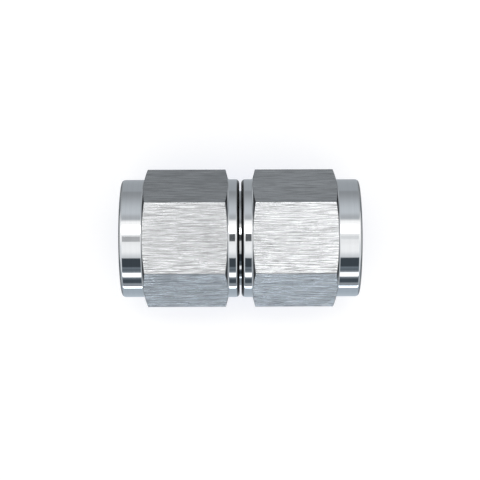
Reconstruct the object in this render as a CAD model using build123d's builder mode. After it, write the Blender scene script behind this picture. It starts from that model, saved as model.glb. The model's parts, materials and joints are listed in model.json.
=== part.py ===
from build123d import *
from math import asin, cos, degrees, radians, sin, sqrt, tan
import os

# Flare swivel union: a turned body with a 37 degree seat in each end, and two hexagon swivel nuts that
# thrust wires hold on it. Millimetres. X runs along the fitting, +Z is up, and the origin is on the axis,
# halfway between the ends. Each nut has a flat that faces up and one that faces down.

# Overall: the length over both nuts, and the space between them
overall_length = 50.0
nut_gap = 0.4

# Nut thread, 7/8-14. The minor bore stands here for the thread, which is cut into its wall
thread_major_diameter = 22.225
thread_depth = 0.8625
countersink_allowance = 0.2
relief_allowance = 0.15
relief_width = 2.1

# Nut outside. The wall is what is left over the thread at the middle of a flat
nut_wall = 1.5875
hex_corner_radius = 0.25
hex_chamfer_angle = 15.0
mouth_collar_step = 0.23
rear_collar_step = 0.15
mouth_collar_length = 4.74
rear_collar_length = 2.38
mouth_root_bevel = 0.2
rear_root_bevel = 0.3
mouth_edge_radius = 0.45
rear_edge_radius = 0.85
rear_bore_chamfer = 0.3

# Body. It passes through the thread, and the seat's lip lies inside the mouth by the seat depth
passing_clearance = 0.2
body_wall = 3.9
seat_depth = 13.1
seat_half_angle = 37.0
seat_lip_width = 0.4
nose_projection = 1.0
nose_chamfer = 0.25

# Swivel: the nut runs on the body, and a wire lies half in each, with its hook in a hole in the body
swivel_clearance = 0.08
wire_diameter = 1.6
race_clearance = 0.05
race_distance = 4.6
wire_bend_radius = 1.3
hook_floor = 1.2
hook_end_clearance = 0.3
wire_end_gap = 1.6
feed_hole_clearance = 0.15
feed_hole_angle = 120.0

# Nut, worked out
nut_rear = nut_gap / 2
nut_mouth = overall_length / 2
thread_minor_radius = thread_major_diameter / 2 - thread_depth
hex_apothem = thread_major_diameter / 2 + nut_wall
hex_radius = hex_apothem / cos(radians(30))
mouth_collar_radius = hex_apothem - mouth_collar_step
rear_collar_radius = hex_apothem - rear_collar_step
hex_rear = nut_rear + rear_collar_length
hex_front = nut_mouth - mouth_collar_length
chamfer_run, chamfer_rise = sin(radians(hex_chamfer_angle)), cos(radians(hex_chamfer_angle))
rear_chamfer_length = (hex_radius - rear_collar_radius) * tan(radians(hex_chamfer_angle))
mouth_chamfer_length = (hex_radius - mouth_collar_radius) * tan(radians(hex_chamfer_angle))
countersink_radius = thread_major_diameter / 2 + countersink_allowance
countersink_depth = countersink_radius - thread_minor_radius

# Body, worked out
body_radius = thread_minor_radius - passing_clearance
flow_bore_radius = body_radius - body_wall
body_end = nut_mouth - seat_depth
seat_lip_radius = body_radius - nose_chamfer - seat_lip_width
seat_bottom = body_end - (seat_lip_radius - flow_bore_radius) / tan(radians(seat_half_angle))

# Nut bores that follow the body
rear_bore_radius = body_radius + swivel_clearance
relief_radius = thread_major_diameter / 2 + relief_allowance
relief_rear = body_end - nose_projection
relief_front = relief_rear + relief_width
relief_ramp = relief_radius - thread_minor_radius

# Wire and races, worked out. The hook's line runs along Y and bends round onto the race
wire_radius = wire_diameter / 2
race_radius = wire_radius + race_clearance
race_x = nut_rear + race_distance
pitch_radius = body_radius + swivel_clearance / 2
hook_hole_bottom = flow_bore_radius + hook_floor
hook_tip = hook_hole_bottom + hook_end_clearance
bend_centre_radius = pitch_radius - wire_bend_radius
bend_start = sqrt(bend_centre_radius**2 - wire_bend_radius**2)
bend_sweep = degrees(asin(wire_bend_radius / bend_centre_radius))
wire_end_angle = 360 - degrees((wire_end_gap + wire_diameter) / pitch_radius)
race_plane = Plane.YZ.offset(race_x)

os.makedirs("parts", exist_ok=True)


# Swivel nut, right-hand side
with BuildPart() as right_nut:
    # Hexagon bar with its slightly rounded corners
    with BuildSketch(Plane.YZ.offset(nut_rear)) as bar:
        RegularPolygon(hex_apothem, 6, major_radius=False)
        fillet(bar.vertices(), hex_corner_radius)
    extrude(amount=nut_mouth - nut_rear)

    # Turned outline: rear collar, its root, chamfered hexagon, the mouth collar's root, mouth collar
    with BuildSketch(Plane.XY) as outline:
        with BuildLine():
            FilletPolyline(
                (nut_rear, 0),
                (nut_rear, rear_collar_radius),
                (hex_rear - rear_root_bevel, rear_collar_radius),
                (
                    hex_rear + rear_root_bevel * chamfer_run,
                    rear_collar_radius + rear_root_bevel * chamfer_rise,
                ),
                (hex_rear + rear_chamfer_length, hex_radius),
                (hex_front - mouth_chamfer_length, hex_radius),
                (
                    hex_front - mouth_root_bevel * chamfer_run,
                    mouth_collar_radius + mouth_root_bevel * chamfer_rise,
                ),
                (hex_front + mouth_root_bevel, mouth_collar_radius),
                (nut_mouth, mouth_collar_radius),
                (nut_mouth, 0),
                radius=(rear_edge_radius, 0, 0, 0, 0, 0, 0, mouth_edge_radius),
            )
            Line((nut_mouth, 0), (nut_rear, 0))
        make_face()
    revolve(axis=Axis.X, mode=Mode.INTERSECT)

    # Bored inside: rear bore, relief behind the thread, minor bore, countersunk mouth
    with BuildSketch(Plane.XY) as bores:
        with BuildLine():
            Polyline(
                (nut_rear, 0),
                (nut_rear, rear_bore_radius + rear_bore_chamfer),
                (nut_rear + rear_bore_chamfer, rear_bore_radius),
                (relief_rear, rear_bore_radius),
                (relief_rear, relief_radius),
                (relief_front, relief_radius),
                (relief_front + relief_ramp, thread_minor_radius),
                (nut_mouth - countersink_depth, thread_minor_radius),
                (nut_mouth, countersink_radius),
                (nut_mouth, 0),
                close=True,
            )
        make_face()
    revolve(axis=Axis.X, mode=Mode.SUBTRACT)

    # The nut's half of the wire race
    with BuildSketch(Plane.XY) as nut_race:
        with Locations((race_x, pitch_radius)):
            Circle(race_radius)
    revolve(axis=Axis.X, mode=Mode.SUBTRACT)

    # Hole that the wire is fed in through, square to a flat on the underside
    feed_direction = (0, sin(radians(feed_hole_angle)), cos(radians(feed_hole_angle)))
    with BuildSketch(Plane((race_x, 0, 0), z_dir=feed_direction)) as feed_hole:
        Circle(wire_radius + feed_hole_clearance)
    extrude(amount=hex_radius, mode=Mode.SUBTRACT)
right_nut.part.label = "right_nut"
export_step(right_nut.part, "parts/right_nut.step")

# Swivel nut, left-hand side: the same nut, turned end for end
with BuildPart() as left_nut:
    add(right_nut.part.rotate(Axis.Z, 180))
left_nut.part.label = "left_nut"
export_step(left_nut.part, "parts/left_nut.step")

# Thrust wire, right-hand side: in along its hook, round the bend, then along the race
with BuildPart() as right_thrust_wire:
    with BuildLine(race_plane) as wire_path:
        Line((hook_tip, 0), (bend_start, 0))
        CenterArc((bend_start, wire_bend_radius), wire_bend_radius, -90, 90 + bend_sweep)
        CenterArc((0, 0), pitch_radius, bend_sweep, wire_end_angle - bend_sweep)
    with BuildSketch(Plane(wire_path.line @ 0, z_dir=wire_path.line % 0)):
        Circle(wire_radius)
    sweep()
right_thrust_wire.part.label = "right_thrust_wire"
export_step(right_thrust_wire.part, "parts/right_thrust_wire.step")

# Thrust wire, left-hand side
with BuildPart() as left_thrust_wire:
    add(right_thrust_wire.part.rotate(Axis.Z, 180))
left_thrust_wire.part.label = "left_thrust_wire"
export_step(left_thrust_wire.part, "parts/left_thrust_wire.step")

# Cutter for the hook's hole, whose mouth is rounded over for the wire's bend
with BuildPart() as hook_hole:
    with BuildLine(race_plane) as hole_path:
        Line((hook_hole_bottom, 0), (bend_start, 0))
        CenterArc((bend_start, wire_bend_radius), wire_bend_radius, -90, 90 + bend_sweep)
    with BuildSketch(Plane(hole_path.line @ 0, z_dir=hole_path.line % 0)):
        Circle(race_radius)
    sweep()

# Body: turned bar with a seat in each end, the body's half of each race, and the hook holes
with BuildPart() as union_body:
    with BuildSketch(Plane.XY) as section:
        with BuildLine():
            Polyline(
                (0, flow_bore_radius),
                (seat_bottom, flow_bore_radius),
                (body_end, seat_lip_radius),
                (body_end, body_radius - nose_chamfer),
                (body_end - nose_chamfer, body_radius),
                (0, body_radius),
                close=True,
            )
        make_face()
        mirror(about=Plane.YZ)
    revolve(axis=Axis.X)

    with BuildSketch(Plane.XY) as body_races:
        with Locations((race_x, pitch_radius), (-race_x, pitch_radius)):
            Circle(race_radius)
    revolve(axis=Axis.X, mode=Mode.SUBTRACT)

    add(hook_hole.part, mode=Mode.SUBTRACT)
    add(hook_hole.part.rotate(Axis.Z, 180), mode=Mode.SUBTRACT)
union_body.part.label = "union_body"
export_step(union_body.part, "parts/union_body.step")
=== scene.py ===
"""Looks of a flare swivel union in bare stainless steel, photographed from straight above.

Lengths are in millimetres until a mesh is made, and in metres after that.
"""
import json
import math

import bmesh
import bpy
import numpy as np
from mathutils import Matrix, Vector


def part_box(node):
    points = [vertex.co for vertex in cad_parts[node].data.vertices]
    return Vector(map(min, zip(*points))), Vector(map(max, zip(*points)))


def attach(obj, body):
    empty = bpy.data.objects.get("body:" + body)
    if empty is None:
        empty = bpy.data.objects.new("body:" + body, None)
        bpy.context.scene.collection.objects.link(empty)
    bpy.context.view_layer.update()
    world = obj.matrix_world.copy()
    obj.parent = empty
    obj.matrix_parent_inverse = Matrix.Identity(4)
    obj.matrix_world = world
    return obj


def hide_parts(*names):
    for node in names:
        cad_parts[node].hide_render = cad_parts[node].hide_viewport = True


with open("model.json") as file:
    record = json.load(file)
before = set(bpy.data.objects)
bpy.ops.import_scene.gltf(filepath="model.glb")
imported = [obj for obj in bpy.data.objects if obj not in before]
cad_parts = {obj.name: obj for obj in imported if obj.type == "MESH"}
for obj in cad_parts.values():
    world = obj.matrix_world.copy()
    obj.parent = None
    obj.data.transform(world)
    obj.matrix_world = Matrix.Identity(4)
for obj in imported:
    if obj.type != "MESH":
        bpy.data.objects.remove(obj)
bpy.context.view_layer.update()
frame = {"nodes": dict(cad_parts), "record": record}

MM = 0.001

# Sizes read from the frame
mounts = {mount["name"]: mount for mount in frame["record"]["mounts"]}
nut_low, nut_high = (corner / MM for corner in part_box("right_nut"))
body_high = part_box("union_body")[1] / MM
wire_low, wire_high = (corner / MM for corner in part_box("right_thrust_wire"))
nut_rear, nut_mouth, hex_apothem = nut_low.x, nut_high.x, nut_high.z
body_end, body_radius = body_high.x, body_high.z
race_x = (wire_low.x + wire_high.x) / 2
wire_radius = (wire_high.x - wire_low.x) / 2
pitch_radius = wire_high.z - wire_radius
thread_minor_radius = mounts["right_port"]["dims"]["r_mm"]

# Nut outside
hex_corner_radius = 0.25
hex_chamfer = math.radians(15)
mouth_collar_radius = hex_apothem - 0.23
rear_collar_radius = hex_apothem - 0.15
hex_rear = nut_rear + 2.38
hex_front = nut_mouth - 4.74
mouth_edge_radius = 0.45
mouth_edge_length = 0.8
rear_edge_radius = 0.85
mouth_root_radius = 0.28
rear_root_radius = 0.4
hex_edge_radius = 0.07

# Nut inside: 7/8-14 thread, its relief and countersink, and the rear bore with its race
thread_major_radius = 22.225 / 2
thread_pitch = 25.4 / 14
countersink_radius = thread_major_radius + 0.2
relief_radius = thread_major_radius + 0.15
relief_rear = body_end - 1.0
relief_front = relief_rear + 2.1
rear_bore_radius = body_radius + 0.08
rear_bore_chamfer = 0.3
race_radius = wire_radius + 0.05
feed_hole_radius = wire_radius + 0.15
feed_hole_break = 0.12
feed_hole_angle = math.radians(-30)

# Body
flow_bore_radius = body_radius - 3.9
seat_half_angle = math.radians(37)
nose_chamfer = 0.25
seat_lip_radius = body_radius - nose_chamfer - 0.4
wire_bend_radius = 1.3
hook_hole_bottom = flow_bore_radius + 1.2

# Camera, from the photograph's perspective and framing
camera_height = 295.0
view_width = 102.3
camera_offset = (-0.085, -0.405)
camera_roll = math.radians(-0.2)

# Mesh fineness: columns round the axis, steps along a curve, and the angle above which an edge is sharp
outer_columns = 720
inner_columns = 240
body_columns = 360
rear_edge_steps = 12
mouth_edge_steps = 10
root_steps = 8
hex_edge_steps = 3
race_steps = 12
hook_bend_steps = 12
feed_hole_sides = 48
hook_hole_sides = 32
lens_sides = 64
support_width = 0.06
sharp_angle = math.radians(35)

# Where the nut's finish changes: how many steps of each edge, from its end face, have a finish of their
# own. The rear steps are near-black painted shade for the gap between the nuts, and the lip steps a darker
# painted shade along the mouth's rim.
painted_shade_rear_steps = 9
painted_shade_lip_steps = 6
nut_finishes = ("brushed", "turned", "chamfer", "bored", "thread", "rear", "lip")
body_finishes = ("turned", "seat")


# Nodes

def feed(tree, socket, value):
    """Gives an input socket a value, or joins an output socket to it."""
    if isinstance(value, bpy.types.NodeSocket):
        tree.links.new(value, socket)
    else:
        socket.default_value = value


def add_node(tree, kind, settings=None, **sockets):
    """Adds a node, sets its properties and feeds its inputs, by name, or by place as i0, i1 and so on."""
    node = tree.nodes.new(kind)
    for name, value in (settings or {}).items():
        setattr(node, name, value)
    for name, value in sockets.items():
        by_place = name[0] == "i" and name[1:].isdigit()
        feed(tree, node.inputs[int(name[1:]) if by_place else name], value)
    return node


def maths(tree, operation, a, b=0.0, c=0.0):
    """The output of a Math node."""
    return add_node(tree, "ShaderNodeMath", {"operation": operation}, i0=a, i1=b, i2=c).outputs[0]


def ramp(tree, value, low, high, to_low=0.0, to_high=1.0, kind="SMOOTHSTEP"):
    """A value carried from one range to another, held at its ends."""
    node = add_node(tree, "ShaderNodeMapRange", {"interpolation_type": kind})
    for place, given in enumerate((value, low, high, to_low, to_high)):
        feed(tree, node.inputs[place], given)
    return node.outputs[0]


def blend_colour(tree, factor, first, second):
    """The output of a colour Mix node."""
    node = add_node(tree, "ShaderNodeMix", {"data_type": "RGBA", "blend_type": "MIX"})
    for place, value in ((0, factor), (6, first), (7, second)):
        feed(tree, node.inputs[place], value)
    return node.outputs[2]


def grey(level, warmth=0.0):
    """An opaque colour of that linear level. Warmth below nought is bluish."""
    return (level * (1 + warmth), level, level * (1 - warmth), 1.0)


# Light: a studio of broad bands that run along the fitting, so that they show as lines on its collars.
# An angle is counted round the fitting's axis, from straight up towards +Y. Each entry is the edge where
# a band begins, how wide its soft edge is, and the band's level and warmth.
first_band = (0.61, -0.12)
band_edges = (
    (-138.0, 16.0, 0.58, -0.13),
    (-114.2, 2.5, 4.40, -0.12),
    (-109.0, 2.5, 0.41, -0.10),
    (-98.2, 4.0, 0.10, -0.22),
    (-86.5, 5.0, 0.24, -0.16),
    (-81.5, 4.0, 1.90, -0.02),
    (-70.8, 4.0, 0.26, -0.14),
    (-65.5, 5.0, 0.16, -0.18),
    (-62.5, 3.0, 0.24, -0.16),
    (-57.8, 2.0, 0.08, -0.20),
    (-38.8, 2.5, 0.90, -0.04),
    (-31.0, 14.0, 1.30, -0.01),
    (-12.0, 8.0, 1.22, -0.01),
    (10.0, 6.0, 6.50, -0.02),
    (24.0, 6.0, 1.42, 0.00),
    (34.5, 7.0, 0.62, -0.05),
    (46.0, 10.0, 0.78, -0.06),
    (76.0, 50.0, 0.40, -0.06),
    (104.5, 6.0, 0.49, -0.07),
)
# The same at a slant to the fitting's ends, as the root and edge curves of its collars see it
wing_band = (0.50, -0.10)
wing_edges = (
    (-100.0, 12.0, 0.62, -0.08),
    (-72.0, 10.0, 1.00, -0.05),
    (-8.0, 30.0, 1.50, 0.00),
    (36.0, 16.0, 0.70, -0.05),
    (76.0, 50.0, 0.41, -0.05),
)
wing_start, wing_full = math.sin(math.radians(11)), math.sin(math.radians(19))
# The rest of the studio, which shows on the fitting from its other sides
far_band = (0.70, -0.05)
far_edges = (
    (-104.0, 10.0, 0.40, -0.08),
    (-52.0, 20.0, 1.00, -0.02),
    (60.0, 16.0, 0.42, -0.07),
    (100.0, 10.0, 0.70, -0.05),
)
far_start, far_full = math.sin(math.radians(26)), math.sin(math.radians(42))
side_start, side_full = math.sin(math.radians(66)), math.sin(math.radians(78))
side_above, side_below = grey(0.26, -0.08), grey(0.60, -0.04)
horizon_blur = 0.05
# What dull surfaces get instead: light that lessens towards +Y and grows a little towards +X
soft_level = 0.95
soft_lean_x, soft_lean_y = 0.08, -0.40

# Floor
floor_width = 3000.0
floor_colour = (0.42, 0.385, 0.25, 1.0)
floor_glow = (0.623, 0.656, 0.784, 1.0)


def band_colour(tree, angle, first, edges):
    """The colour of the band that an angle falls in."""
    colour = grey(*first)
    for edge, width, level, warmth in edges:
        past = ramp(tree, angle, edge - width / 2, edge + width / 2)
        colour = blend_colour(tree, past, colour, grey(level, warmth))
    return colour


def make_world():
    """The studio, as mirror-like and dull surfaces get it, and plain white behind the object."""
    world = bpy.data.worlds.new("studio")
    bpy.context.scene.world = world
    world.use_nodes = True
    tree = world.node_tree
    tree.nodes.clear()
    direction = add_node(tree, "ShaderNodeTexCoord").outputs["Generated"]
    axes = add_node(tree, "ShaderNodeSeparateXYZ", i0=direction).outputs
    angle = maths(tree, "DEGREES", maths(tree, "ARCTAN2", axes["Y"], axes["Z"]))
    slant = maths(tree, "ABSOLUTE", axes["X"])
    middle = band_colour(tree, angle, first_band, band_edges)
    wing = band_colour(tree, angle, wing_band, wing_edges)
    colour = blend_colour(tree, ramp(tree, slant, wing_start, wing_full), middle, wing)
    far = band_colour(tree, angle, far_band, far_edges)
    colour = blend_colour(tree, ramp(tree, slant, far_start, far_full), colour, far)
    above = ramp(tree, axes["Z"], -horizon_blur, horizon_blur)
    side = blend_colour(tree, above, side_below, side_above)
    colour = blend_colour(tree, ramp(tree, slant, side_start, side_full), colour, side)
    path = add_node(tree, "ShaderNodeLightPath").outputs
    lean_x = maths(tree, "MULTIPLY", axes["X"], soft_lean_x)
    lean_y = maths(tree, "MULTIPLY", axes["Y"], soft_lean_y)
    soft = maths(tree, "ADD", maths(tree, "ADD", lean_y, lean_x), soft_level)
    soft = add_node(tree, "ShaderNodeCombineColor", i0=soft, i1=soft, i2=soft).outputs[0]
    colour = blend_colour(tree, path["Is Diffuse Ray"], colour, soft)
    colour = blend_colour(tree, path["Is Camera Ray"], colour, grey(1.0))
    background = add_node(tree, "ShaderNodeBackground", Color=colour, Strength=1.0)
    output = add_node(tree, "ShaderNodeOutputWorld")
    tree.links.new(background.outputs[0], output.inputs["Surface"])
    world.cycles.sampling_method = "MANUAL"
    world.cycles.sample_map_resolution = 1024


def make_floor():
    """A pale floor under the lowest flats."""
    floor = floor_plate("floor")
    material = bpy.data.materials.new("floor_paper")
    material.use_nodes = True
    material.cycles.emission_sampling = "NONE"
    tree = material.node_tree
    shader = tree.nodes["Principled BSDF"]
    shader.inputs["Base Color"].default_value = floor_colour
    shader.inputs["Roughness"].default_value = 1.0
    shader.inputs["Specular IOR Level"].default_value = 0.0
    shader.inputs["Emission Color"].default_value = floor_glow
    shader.inputs["Emission Strength"].default_value = 1.0
    floor.data.materials.append(material)
    floor.visible_glossy = False


def flat_piece(name, outline):
    """An object with one flat face. The outline is its corners in millimetres, in order."""
    mesh = bpy.data.meshes.new(name)
    mesh.from_pydata([tuple(c * MM for c in corner) for corner in outline], [], [range(len(outline))])
    piece = bpy.data.objects.new(name, mesh)
    bpy.context.scene.collection.objects.link(piece)
    return piece


def floor_plate(name):
    """A square on the stage, its face up, level with the lowest flats."""
    reach = floor_width / 2
    outline = [(i * reach, j * reach, -hex_apothem) for i, j in ((-1, -1), (1, -1), (1, 1), (-1, 1))]
    piece = flat_piece(name, outline)
    return piece


def reflected_card(name, outline, level, warmth):
    """A card above the object that only its reflections show."""
    card = flat_piece(name, outline)
    material = bpy.data.materials.new(name)
    material.use_nodes = True
    tree = material.node_tree
    tree.nodes.clear()
    glow = add_node(tree, "ShaderNodeEmission", Color=grey(level, warmth), Strength=1.0)
    output = add_node(tree, "ShaderNodeOutputMaterial")
    tree.links.new(glow.outputs[0], output.inputs["Surface"])
    card.data.materials.append(material)
    card.visible_camera = False
    card.visible_diffuse = False
    card.visible_shadow = False
    card.visible_transmission = False


def make_cards():
    """What hangs over the object in a studio: the lens that looks down on it, and the camera beside it."""
    lens_width, lens_depth, lens_y = 15.0, 37.5, 5.0
    lens_height, height = camera_height - 6, camera_height - 5
    rim = [
        (lens_width * math.cos(turn), lens_y + lens_depth * math.sin(turn), lens_height)
        for turn in np.linspace(0, 2 * math.pi, lens_sides, endpoint=False)
    ]
    reflected_card("card_lens", rim, 0.13, -0.08)
    for name, left, right, low, high, level in (
        ("card_camera_left", -60.0, -37.0, -32.0, 19.0, 0.58),
        ("card_camera_right", 37.0, 60.0, -14.0, 20.0, 1.0),
    ):
        corners = [(left, low, height), (right, low, height), (right, high, height), (left, high, height)]
        reflected_card(name, corners, level, -0.02)


def make_camera():
    """The photograph's camera, straight above the fitting."""
    data = bpy.data.cameras.new("camera")
    data.angle = 2 * math.atan(view_width / 2 / camera_height)
    data.clip_start, data.clip_end = 0.01, 20.0
    camera = bpy.data.objects.new("camera", data)
    camera.location = (camera_offset[0] * MM, camera_offset[1] * MM, camera_height * MM)
    camera.rotation_euler.z = camera_roll
    bpy.context.scene.collection.objects.link(camera)
    bpy.context.scene.camera = camera
    bpy.context.scene.view_settings.view_transform = "Standard"


# Materials

# How fine each pattern in the steel is: noise features to a metre along X, Y and Z. The turned grain is
# along the axis and outwards, and the smudges are as fine every way.
waver_grain = (120.0, 300.0, 300.0)
streak_grain = (230.0, 5200.0, 5200.0)
groove_grain = (140.0, 2100.0, 2100.0)
scratch_grain = (150.0, 3200.0, 3200.0)
drift_grain = (70.0, 260.0, 260.0)
turned_grain = (7000.0, 7000.0, 1.0)
smudge_grain = 420.0

# Where across the nut, in metres along Y, the brushing goes from light to hard, and what changes there: the
# brushing's depth, its lines' contrast, and painted light that makes the base up to 11% lighter towards -Y
depth_start, depth_full, depth_light, depth_hard = -0.001, -0.009, 0.5, 2.1
contrast_start, contrast_full, contrast_light, contrast_hard = -0.004, -0.009, 2.0, 3.6
painted_light_start, painted_light_full, painted_light_low, painted_light_high = -0.0065, -0.008, 1.0, 1.11
brushing_depth = 0.03
waver_width = 0.00014

# How bluish turned steel is, and how its grooves lie: along the axis on drawn bar, round it on turned bar
turned_warmth = -0.01
grooves_along, grooves_round = 0.0, 0.25


def steel(name, base, roughness, anisotropy, turn, edge=1.0):
    """Bare metal. The turn is how its fine grooves lie, and the edge is how much of its shine it keeps at a
    glancing angle."""
    material = bpy.data.materials.new(name)
    material.use_nodes = True
    tree = material.node_tree
    shader = tree.nodes["Principled BSDF"]
    shader.inputs["Base Color"].default_value = base
    shader.inputs["Metallic"].default_value = 1.0
    shader.inputs["Roughness"].default_value = roughness
    shader.inputs["Anisotropic"].default_value = anisotropy
    shader.inputs["Anisotropic Rotation"].default_value = turn
    shader.inputs["Specular Tint"].default_value = (edge, edge, edge, 1.0)
    tangent = add_node(tree, "ShaderNodeTangent", {"direction_type": "RADIAL", "axis": "X"})
    tree.links.new(tangent.outputs[0], shader.inputs["Tangent"])
    return material, tree, shader


def noise(tree, vector, scale, detail, roughness=0.5):
    """The grey output of a noise texture."""
    node = add_node(tree, "ShaderNodeTexNoise", Vector=vector, Scale=scale, Detail=detail)
    feed(tree, node.inputs["Roughness"], roughness)
    return node.outputs[0]


def vector_maths(tree, operation, a, b):
    """The output of a Vector Math node that works part by part."""
    return add_node(tree, "ShaderNodeVectorMath", {"operation": operation}, i0=a, i1=b).outputs[0]


def grain(tree, place, fineness, detail, roughness=0.5):
    """Noise that is stretched by its fineness along each axis."""
    return noise(tree, vector_maths(tree, "MULTIPLY", place, fineness), 1.0, detail, roughness)


def set_tone(tree, shader, base, tone):
    """Makes the shader's base colour a fixed colour times a tone."""
    colour = add_node(tree, "ShaderNodeVectorMath", {"operation": "SCALE"}, i0=base[:3], Scale=tone)
    tree.links.new(colour.outputs[0], shader.inputs["Base Color"])


def set_bump(tree, shader, height, depth_mm):
    """Roughens the surface by a height, whose whole range is that deep."""
    bump = add_node(tree, "ShaderNodeBump", Height=height, Strength=1.0, Distance=depth_mm * MM)
    tree.links.new(bump.outputs[0], shader.inputs["Normal"])


def brushed_steel(name, level, seed):
    """Drawn bar: fine, slightly wavy lines along the axis, deeper towards -Y, and scratches, with painted
    light that makes the base brighter towards -Y.

    The seed sets which part of the noise it shows."""
    material, tree, shader = steel(name, grey(level), 0.25, 0.85, grooves_along)
    place = add_node(tree, "ShaderNodeTexCoord").outputs["Object"]
    across = add_node(tree, "ShaderNodeSeparateXYZ", i0=place).outputs["Y"]
    depth = ramp(tree, across, depth_start, depth_full, depth_light, depth_hard)
    place = vector_maths(tree, "ADD", place, (seed, seed, 0.0))

    # Lines that waver a little across the bar
    waver = grain(tree, place, waver_grain, 1.0)
    lift = maths(tree, "MULTIPLY", maths(tree, "SUBTRACT", waver, 0.5), waver_width)
    bend = add_node(tree, "ShaderNodeCombineXYZ", i0=0.0, i1=lift, i2=lift).outputs[0]
    wavy = vector_maths(tree, "ADD", place, bend)
    fine = grain(tree, wavy, streak_grain, 3.0, 0.6)
    broad = grain(tree, wavy, groove_grain, 2.0)
    height = maths(tree, "ADD", fine, maths(tree, "MULTIPLY", broad, 0.4))
    set_bump(tree, shader, maths(tree, "MULTIPLY", height, depth), brushing_depth)

    # Tone: the lines themselves, slow changes along the bar, darker scratches, and painted light that
    # brightens the -Y side
    scratch = ramp(tree, grain(tree, wavy, scratch_grain, 1.0), 0.62, 0.74)
    drift = ramp(tree, grain(tree, place, drift_grain, 1.0), 0.25, 0.75, 0.95, 1.05, "LINEAR")
    contrast = ramp(tree, across, contrast_start, contrast_full, contrast_light, contrast_hard)
    streak = maths(tree, "MULTIPLY", maths(tree, "SUBTRACT", fine, 0.5), contrast)
    tone = maths(tree, "ADD", ramp(tree, across, painted_light_start, painted_light_full, painted_light_low, painted_light_high), streak)
    tone = maths(tree, "MULTIPLY", tone, drift)
    unscratched = maths(tree, "SUBTRACT", 1.0, maths(tree, "MULTIPLY", scratch, 0.25))
    set_tone(tree, shader, grey(level), maths(tree, "MULTIPLY", tone, unscratched))
    feed(tree, shader.inputs["Roughness"], ramp(tree, broad, 0.3, 0.7, 0.21, 0.29, "LINEAR"))
    return material


def turned_steel(name, level, roughness, line_depth, edge=1.0):
    """Turned bar: fine rings round the axis, spaced along it on a cylinder and outwards on a face."""
    base = grey(level, turned_warmth)
    material, tree, shader = steel(name, base, roughness, 0.5, grooves_round, edge)
    place = add_node(tree, "ShaderNodeTexCoord").outputs["Object"]
    parts = add_node(tree, "ShaderNodeSeparateXYZ", i0=place).outputs
    across = add_node(tree, "ShaderNodeCombineXYZ", i0=0.0, i1=parts["Y"], i2=parts["Z"]).outputs[0]
    radius = add_node(tree, "ShaderNodeVectorMath", {"operation": "LENGTH"}, i0=across).outputs["Value"]
    rings = add_node(tree, "ShaderNodeCombineXYZ", i0=parts["X"], i1=radius, i2=0.0).outputs[0]
    lines = grain(tree, rings, turned_grain, 2.0)
    smudge = noise(tree, place, smudge_grain, 3.0, 0.6)
    set_bump(tree, shader, maths(tree, "ADD", lines, maths(tree, "MULTIPLY", smudge, 0.5)), line_depth)
    set_tone(tree, shader, base, ramp(tree, lines, 0.3, 0.7, 0.97, 1.02, "LINEAR"))
    rough = ramp(tree, smudge, 0.3, 0.7, roughness * 0.8, roughness * 1.3, "LINEAR")
    feed(tree, shader.inputs["Roughness"], rough)
    return material


# Meshes

def arc(centre, radius, start, end, steps):
    """Points (x, r) on an arc in a half plane through the axis. Angles are in degrees, from +X outwards."""
    turns = np.radians(np.linspace(start, end, steps + 1))
    return [(centre[0] + radius * math.cos(t), centre[1] + radius * math.sin(t)) for t in turns]


def bar_radius(turn):
    """Distance from the axis to the hexagon bar's surface, whose corners are slightly rounded."""
    half_side = math.radians(30)
    off_flat = abs(math.degrees(turn) % 60 - 30)
    to_corner = math.radians(30 - off_flat)
    tangent = hex_apothem * math.tan(half_side) - hex_corner_radius * math.tan(half_side)
    if off_flat <= math.degrees(math.atan2(tangent, hex_apothem)):
        return hex_apothem / math.cos(math.radians(off_flat))
    centre = (hex_apothem - hex_corner_radius) / math.cos(half_side)
    past_centre = math.sqrt(hex_corner_radius**2 - (centre * math.sin(to_corner)) ** 2)
    return centre * math.cos(to_corner) + past_centre


def hex_shoulder(end_x, side, collar, root_radius, bar):
    """Points from a collar, up its root and chamfer, to a flat. Side is 1 at the rear, -1 at the mouth."""
    sweep = math.radians(90) - hex_chamfer
    rise = bar - collar
    root_x = end_x - side * root_radius * math.tan(sweep / 2)
    on_root = rise < root_radius * (1 - math.cos(sweep))
    slope = math.acos(1 - rise / root_radius) if on_root else sweep
    edge = hex_edge_radius * math.tan(slope / 2)
    if on_root:
        top_x = root_x + side * root_radius * math.sin(slope)
        root_end = math.acos(1 - (rise - edge * math.sin(slope)) / root_radius)
    else:
        top_x = end_x + side * rise * math.tan(hex_chamfer)
        root_end = sweep
    points = []
    for turn in np.linspace(0, root_end, root_steps + 1):
        x = root_x + side * root_radius * math.sin(turn)
        points.append((x, collar + root_radius * (1 - math.cos(turn))))
    for turn in np.linspace(slope, 0, hex_edge_steps + 1):
        x = top_x + side * edge - side * hex_edge_radius * math.sin(turn)
        points.append((x, bar - hex_edge_radius * (1 - math.cos(turn))))
    return points


def mouth_edge():
    """Points on the mouth's elliptical edge, from the collar to the mouth."""
    points = []
    for turn in np.radians(np.linspace(90, 0, mouth_edge_steps + 1)):
        x = nut_mouth - mouth_edge_length * (1 - math.cos(turn))
        points.append((x, mouth_collar_radius - mouth_edge_radius * (1 - math.sin(turn))))
    return points


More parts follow.
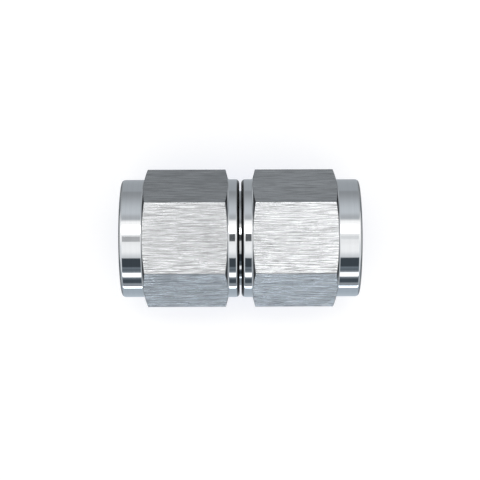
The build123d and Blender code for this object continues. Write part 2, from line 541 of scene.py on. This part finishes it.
def outer_points(turn):
    """The nut's outline at one angle, from the rear face's inner edge to the mouth, and each face's finish.

    A narrow band at each end of a straight stretch keeps the shading of its curves off the rest of it."""
    bar = bar_radius(turn)
    rear_centre = (nut_rear + rear_edge_radius, rear_collar_radius - rear_edge_radius)
    rear = arc(rear_centre, rear_edge_radius, 180, 90, rear_edge_steps)
    front = mouth_edge()
    rise = hex_shoulder(hex_rear, 1, rear_collar_radius, rear_root_radius, bar)
    fall = hex_shoulder(hex_front, -1, mouth_collar_radius, mouth_root_radius, bar)[::-1]

    points = list(rear)
    points.append((rear[-1][0] + support_width, rear_collar_radius))
    points.append((rise[0][0] - support_width, rear_collar_radius))
    points += rise
    points.append((rise[-1][0] + support_width * 2, bar))
    points.append((fall[0][0] - support_width * 2, bar))
    points += fall
    points.append((fall[-1][0] + support_width, mouth_collar_radius))
    points.append((front[0][0] - support_width, mouth_collar_radius))
    points += front

    # The rear edge's first steps get the near-black painted shade of the gap between the nuts.
    finish = ["rear"] * painted_shade_rear_steps + ["turned"] * (rear_edge_steps - painted_shade_rear_steps)
    # The chamfers and the hex edges beside them get steel with painted shade.
    finish += ["turned"] * (3 + root_steps) + ["chamfer"] * (1 + hex_edge_steps)
    finish += ["brushed"] * 3
    finish += ["chamfer"] * (1 + hex_edge_steps) + ["turned"] * (root_steps + 3)
    # The lip's steps get a darker painted shade along the mouth's rim.
    finish += ["turned"] * (mouth_edge_steps - painted_shade_lip_steps) + ["lip"] * painted_shade_lip_steps
    return points, finish


# The thread's section: where it turns, as a share of its pitch from the middle of a crest, and how deep it
# is there, as a share of its full depth
thread_section = (
    (0.0, 0.0), (0.10, 0.0), (0.155, 0.0), (0.171, 0.03), (0.26, 0.35), (0.35, 0.68),
    (0.430, 0.97), (0.450, 1.0), (0.5, 1.0), (0.550, 1.0), (0.570, 0.97),
    (0.65, 0.68), (0.74, 0.35), (0.829, 0.03), (0.845, 0.0), (0.9, 0.0),
)


def thread_wall(x, turn):
    """The threaded wall's radius: the thread, opened out by the countersink and by the relief's ramp."""
    share = (x - relief_front) / thread_pitch - turn / (2 * math.pi)
    shares = [s for s, _ in thread_section] + [1.0]
    depths = [d for _, d in thread_section] + [0.0]
    depth = np.interp(share % 1.0, shares, depths)
    wall = thread_minor_radius + depth * (thread_major_radius - thread_minor_radius)
    countersink = countersink_radius - (nut_mouth - x)
    ramp_wall = relief_radius - (x - relief_front)
    return max(wall, countersink, ramp_wall)


def thread_points(turn):
    """The threaded wall at one angle, from the relief to the mouth, in rows that follow the helix."""
    turns_of_thread = math.ceil((nut_mouth - relief_front) / thread_pitch) + 1
    points = []
    for whole in range(turns_of_thread + 1):
        for share, _ in thread_section:
            x = relief_front + thread_pitch * (whole - 1 + share + turn / (2 * math.pi))
            x = min(max(x, relief_front), nut_mouth)
            points.append((x, thread_wall(x, turn)))
    return points


def rear_bore_points():
    """The nut's inside behind the thread, from the relief's front to the rear face."""
    lip = math.degrees(math.asin((rear_bore_radius - pitch_radius) / race_radius))
    race = arc((race_x, pitch_radius), race_radius, lip, 180 - lip, race_steps)
    return [
        (relief_rear, relief_radius),
        (relief_rear, rear_bore_radius),
        *race,
        (nut_rear + rear_bore_chamfer, rear_bore_radius),
        (nut_rear, rear_bore_radius + rear_bore_chamfer),
    ]


class Skin:
    """Collects the vertices and faces of one closed mesh."""

    def __init__(self, finishes):
        self.finishes = finishes
        self.vertices = []
        self.faces = []
        self.marks = []

    def ring(self, points_by_column):
        """Adds one vertex per column, and returns their indices. Each point is (x, r, turn)."""
        start = len(self.vertices)
        for x, r, turn in points_by_column:
            self.vertices.append((x * MM, r * math.cos(turn) * MM, r * math.sin(turn) * MM))
        return list(range(start, len(self.vertices)))

    def face(self, corners, finish):
        self.faces.append(corners)
        self.marks.append(self.finishes.index(finish))

    def band(self, first, second, finish):
        """Joins two rings of the same count with quads."""
        count = len(first)
        for i in range(count):
            j = (i + 1) % count
            self.face((first[i], first[j], second[j], second[i]), finish)

    def mesh(self, name):
        return finished_mesh(name, self.vertices, self.faces, self.marks)


def finished_mesh(name, vertices, faces, marks):
    """A tidied mesh whose faces use the material slots that the marks name."""
    mesh = bpy.data.meshes.new(name)
    mesh.from_pydata(vertices, [], faces)
    mesh.polygons.foreach_set("material_index", marks)
    tidy_mesh(mesh)
    return mesh


def tidy_mesh(mesh, weld=0.001):
    """Welds points that coincide, turns every face outwards, and marks the edges that stay sharp."""
    work = bmesh.new()
    work.from_mesh(mesh)
    bmesh.ops.remove_doubles(work, verts=work.verts, dist=weld * MM)
    bmesh.ops.dissolve_degenerate(work, edges=work.edges, dist=weld * MM * 0.1)
    bmesh.ops.recalc_face_normals(work, faces=work.faces)
    open_edges = [edge for edge in work.edges if len(edge.link_faces) != 2]
    print(mesh.name, "faces", len(work.faces), "open or shared edges", len(open_edges))
    work.to_mesh(mesh)
    work.free()
    mesh.shade_smooth()
    mesh.set_sharp_from_angle(angle=sharp_angle)
    mesh.update()


def column_turns(count):
    return [2 * math.pi * i / count for i in range(count)]


def nut_mesh():
    """The right-hand nut, before its feed hole is drilled."""
    skin = Skin(nut_finishes)

    # Outside, from the rear to the mouth
    turns = column_turns(outer_columns)
    columns = [outer_points(turn) for turn in turns]
    finish = columns[0][1]
    rings = []
    for row in range(len(columns[0][0])):
        rings.append(skin.ring([(*columns[i][0][row], turn) for i, turn in enumerate(turns)]))
    for row, name in enumerate(finish):
        skin.band(rings[row], rings[row + 1], name)

    # Inside, behind the thread
    turns = column_turns(inner_columns)
    inner = [skin.ring([(x, r, turn) for turn in turns]) for x, r in rear_bore_points()]
    for first, second in zip(inner, inner[1:]):
        skin.band(first, second, "bored")

    # Thread, whose last column meets the first one turn further on
    columns = [thread_points(turn) for turn in turns + [2 * math.pi]]
    wall = []
    for turn, column in zip(turns + [0.0], columns):
        wall.append([skin.ring([(*point, turn)])[0] for point in column])
    for left, right in zip(wall, wall[1:]):
        for row in range(len(left) - 1):
            skin.face((left[row], right[row], right[row + 1], left[row + 1]), "thread")
    relief = skin.ring([(relief_front, relief_radius, turn) for turn in turns])
    skin.band(relief, inner[0], "bored")

    # End faces, where each inner column meets several outer ones
    share = outer_columns // inner_columns
    mouth = skin.ring([(nut_mouth, countersink_radius, turn) for turn in turns])
    # The rear face gets the near-black painted shade of the gap between the nuts.
    for edge, rim, finish in ((inner[-1], rings[0], "rear"), (mouth, rings[-1], "turned")):
        for i in range(inner_columns):
            outer = [rim[(i * share + k) % outer_columns] for k in range(share + 1)]
            skin.face((edge[i], *outer, edge[(i + 1) % inner_columns]), finish)
    return skin.mesh("right_nut")


def lathe(name, outline, finishes, columns, names):
    """A closed mesh turned from an outline that is itself closed."""
    skin = Skin(names)
    turns = column_turns(columns)
    rings = [skin.ring([(x, r, turn) for turn in turns]) for x, r in outline]
    for row in range(len(rings)):
        skin.band(rings[row], rings[(row + 1) % len(rings)], finishes[row])
    return skin.mesh(name)


def circle(centre, across, radius, sides):
    """Vertices of a circle round a point in the race's plane. Across is the plane's other way over it."""
    vertices = []
    for turn in column_turns(sides):
        at = centre + across * radius * math.cos(turn)
        vertices.append(((race_x + radius * math.sin(turn)) * MM, at[0] * MM, at[1] * MM))
    return vertices


def closed_tube(name, circles, mark):
    """A mesh through circles of vertices, closed at both ends."""
    sides = len(circles[0])
    faces = []
    for i in range(len(circles) - 1):
        near, far = i * sides, (i + 1) * sides
        for k in range(sides):
            faces.append((near + k, near + (k + 1) % sides, far + (k + 1) % sides, far + k))
    faces.append(tuple(range(sides)))
    faces.append(tuple(range((len(circles) - 1) * sides, len(circles) * sides)))
    vertices = [vertex for ring in circles for vertex in ring]
    return finished_mesh(name, vertices, faces, [mark] * len(faces))


def hook_hole_path():
    """The middle of the hook's hole: in along Y, then round the bend onto the race."""
    centre_radius = pitch_radius - wire_bend_radius
    start = math.sqrt(centre_radius**2 - wire_bend_radius**2)
    sweep = 90 + math.degrees(math.asin(wire_bend_radius / centre_radius))
    points = [(hook_hole_bottom, 0.0)]
    for turn in np.radians(np.linspace(-90, -90 + sweep, hook_bend_steps + 1)):
        along = start + wire_bend_radius * math.cos(turn)
        points.append((along, wire_bend_radius * (1 + math.sin(turn))))
    return points


def hook_hole_cutter(mark):
    """The hook's hole, with its rounded mouth."""
    path = [np.array(point) for point in hook_hole_path()]
    circles = []
    for i, point in enumerate(path):
        ahead = path[min(i + 1, len(path) - 1)] - path[max(i - 1, 0)]
        ahead = ahead / np.linalg.norm(ahead)
        across = np.array((-ahead[1], ahead[0]))
        circles.append(circle(point, across, race_radius, hook_hole_sides))
    return closed_tube("hook_hole", circles, mark)


def feed_hole_cutter(mark):
    """A drill with a broken edge, square to a lower flat."""
    profile = (
        (pitch_radius - race_radius, feed_hole_radius),
        (hex_apothem - feed_hole_break, feed_hole_radius),
        (hex_apothem + feed_hole_break, feed_hole_radius + 2 * feed_hole_break),
    )
    out = np.array((math.cos(feed_hole_angle), math.sin(feed_hole_angle)))
    across = np.array((-out[1], out[0]))
    circles = [circle(out * distance, across, radius, feed_hole_sides) for distance, radius in profile]
    return closed_tube("feed_hole", circles, mark)


def set_slots(mesh, slots):
    """Puts materials into a mesh's slots, and leaves alone which face uses which slot."""
    while len(mesh.materials) < len(slots):
        mesh.materials.append(None)
    for i, material in enumerate(slots):
        mesh.materials[i] = material


def carve(mesh, cutter, slots):
    """The mesh with the cutter taken out of it."""
    holder = bpy.data.objects.new("holder", mesh)
    tool = bpy.data.objects.new("tool", cutter)
    for piece in (holder, tool):
        bpy.context.scene.collection.objects.link(piece)
        set_slots(piece.data, slots)
    modifier = holder.modifiers.new("carve", "BOOLEAN")
    modifier.operation = "DIFFERENCE"
    modifier.solver = "EXACT"
    modifier.object = tool
    bpy.context.view_layer.update()
    carved = bpy.data.meshes.new_from_object(holder.evaluated_get(bpy.context.evaluated_depsgraph_get()))
    bpy.data.objects.remove(holder)
    bpy.data.objects.remove(tool)
    tidy_mesh(carved, 0.0005)
    return carved


def body_mesh():
    """The body's outline, closed, from the middle of the outside round the right-hand end and back."""
    seat_bottom = body_end - (seat_lip_radius - flow_bore_radius) / math.tan(seat_half_angle)
    lip = math.degrees(math.asin((pitch_radius - body_radius) / race_radius))
    race = arc((race_x, pitch_radius), race_radius, 180 + lip, 360 - lip, race_steps)
    half = [
        *race,
        (body_end - nose_chamfer, body_radius),
        (body_end, body_radius - nose_chamfer),
        (body_end, seat_lip_radius),
        (seat_bottom, flow_bore_radius),
    ]
    outline = half + [(-x, r) for x, r in half[::-1]]
    finishes = ["turned"] * len(outline)
    for row in range(len(race), len(outline) - len(race) - 1):
        finishes[row] = "seat"
    return lathe("union_body", outline, finishes, body_columns, body_finishes)


def place(name, mesh, slots, body, node, slot):
    """Puts a finished mesh into the scene as the piece that stands for a node."""
    piece = bpy.data.objects.new(name, mesh)
    bpy.context.scene.collection.objects.link(piece)
    set_slots(mesh, slots)
    weighted = piece.modifiers.new("weighted_normals", "WEIGHTED_NORMAL")
    weighted.mode = "FACE_AREA"
    weighted.keep_sharp = True
    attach(piece, body)
    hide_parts(node)


def turned_end_for_end(mesh, name):
    """A copy of a mesh, turned half a turn about Z."""
    copy = mesh.copy()
    copy.name = name
    for vertex in copy.vertices:
        vertex.co.x, vertex.co.y = -vertex.co.x, -vertex.co.y
    copy.update()
    return copy


def make_nuts(finishes):
    """Both nuts. Each has its own brushing, and the left-hand one is the right-hand one turned round, with
    a darker brushed base that is painted shade.
    """
    others = [finishes[name] for name in nut_finishes[1:]]
    right_slots = [brushed_steel("brushed_right", 0.405, 0.30), *others]
    # Darker than the right-hand nut's brushed steel: painted shade on the left-hand nut.
    left_slots = [brushed_steel("brushed_left_shaded", 0.36, 0.70), *others]
    right_mesh = carve(nut_mesh(), feed_hole_cutter(nut_finishes.index("bored")), right_slots)
    left_mesh = turned_end_for_end(right_mesh, "left_nut")
    place("right_nut_finished", right_mesh, right_slots, "right_swivel", "right_nut", "nut_steel")
    place("left_nut_finished", left_mesh, left_slots, "left_swivel", "left_nut", "nut_steel")


def make_body(slots):
    """The body, with a hook hole in each race."""
    right_hook_hole = hook_hole_cutter(body_finishes.index("turned"))
    left_hook_hole = turned_end_for_end(right_hook_hole, "left_hook_hole")
    mesh = carve(body_mesh(), right_hook_hole, slots)
    mesh = carve(mesh, left_hook_hole, slots)
    place("union_body_finished", mesh, slots, "centre", "union_body", "body_steel")


def finish_cad_nodes(finishes):
    """Gives each of the frame's own meshes its material."""
    for name, finish in finishes.items():
        materials = frame["nodes"][name].data.materials
        materials.clear()
        materials.append(finish)


make_camera()
make_world()
make_floor()
make_cards()

collar_steel = turned_steel("collar_steel", 0.66, 0.06, 0.0006)
# A darker base and little shine at a glancing angle: painted shade in the crease where the hex chamfer
# meets the collar.
chamfer_painted_shade_steel = turned_steel("chamfer_painted_shade_steel", 0.40, 0.16, 0.0010, 0.12)
# Near-black: painted shade on the rear face and rear edge, which stand in the gap between the nuts.
rear_painted_shade_steel = turned_steel("rear_painted_shade_steel", 0.03, 0.30, 0.0012)
# A darker base than the collars: painted shade along the mouth's rim.
lip_painted_shade_steel = turned_steel("lip_painted_shade_steel", 0.30, 0.10, 0.0006)
bored_steel = turned_steel("bored_steel", 0.5, 0.2, 0.0012)
thread_steel = turned_steel("thread_steel", 0.52, 0.22, 0.0012)
body_steel = turned_steel("body_steel", 0.45, 0.06, 0.0006)
seat_steel = turned_steel("seat_steel", 0.68, 0.28, 0.0006)
wire_steel = turned_steel("wire_steel", 0.5, 0.2, 0.0006)

make_nuts({
    "turned": collar_steel,
    "chamfer": chamfer_painted_shade_steel,
    "bored": bored_steel,
    "thread": thread_steel,
    "rear": rear_painted_shade_steel,
    "lip": lip_painted_shade_steel,
})
make_body([body_steel, seat_steel])
finish_cad_nodes({
    "left_nut": collar_steel,
    "right_nut": collar_steel,
    "union_body": body_steel,
    "left_thrust_wire": wire_steel,
    "right_thrust_wire": wire_steel,
})
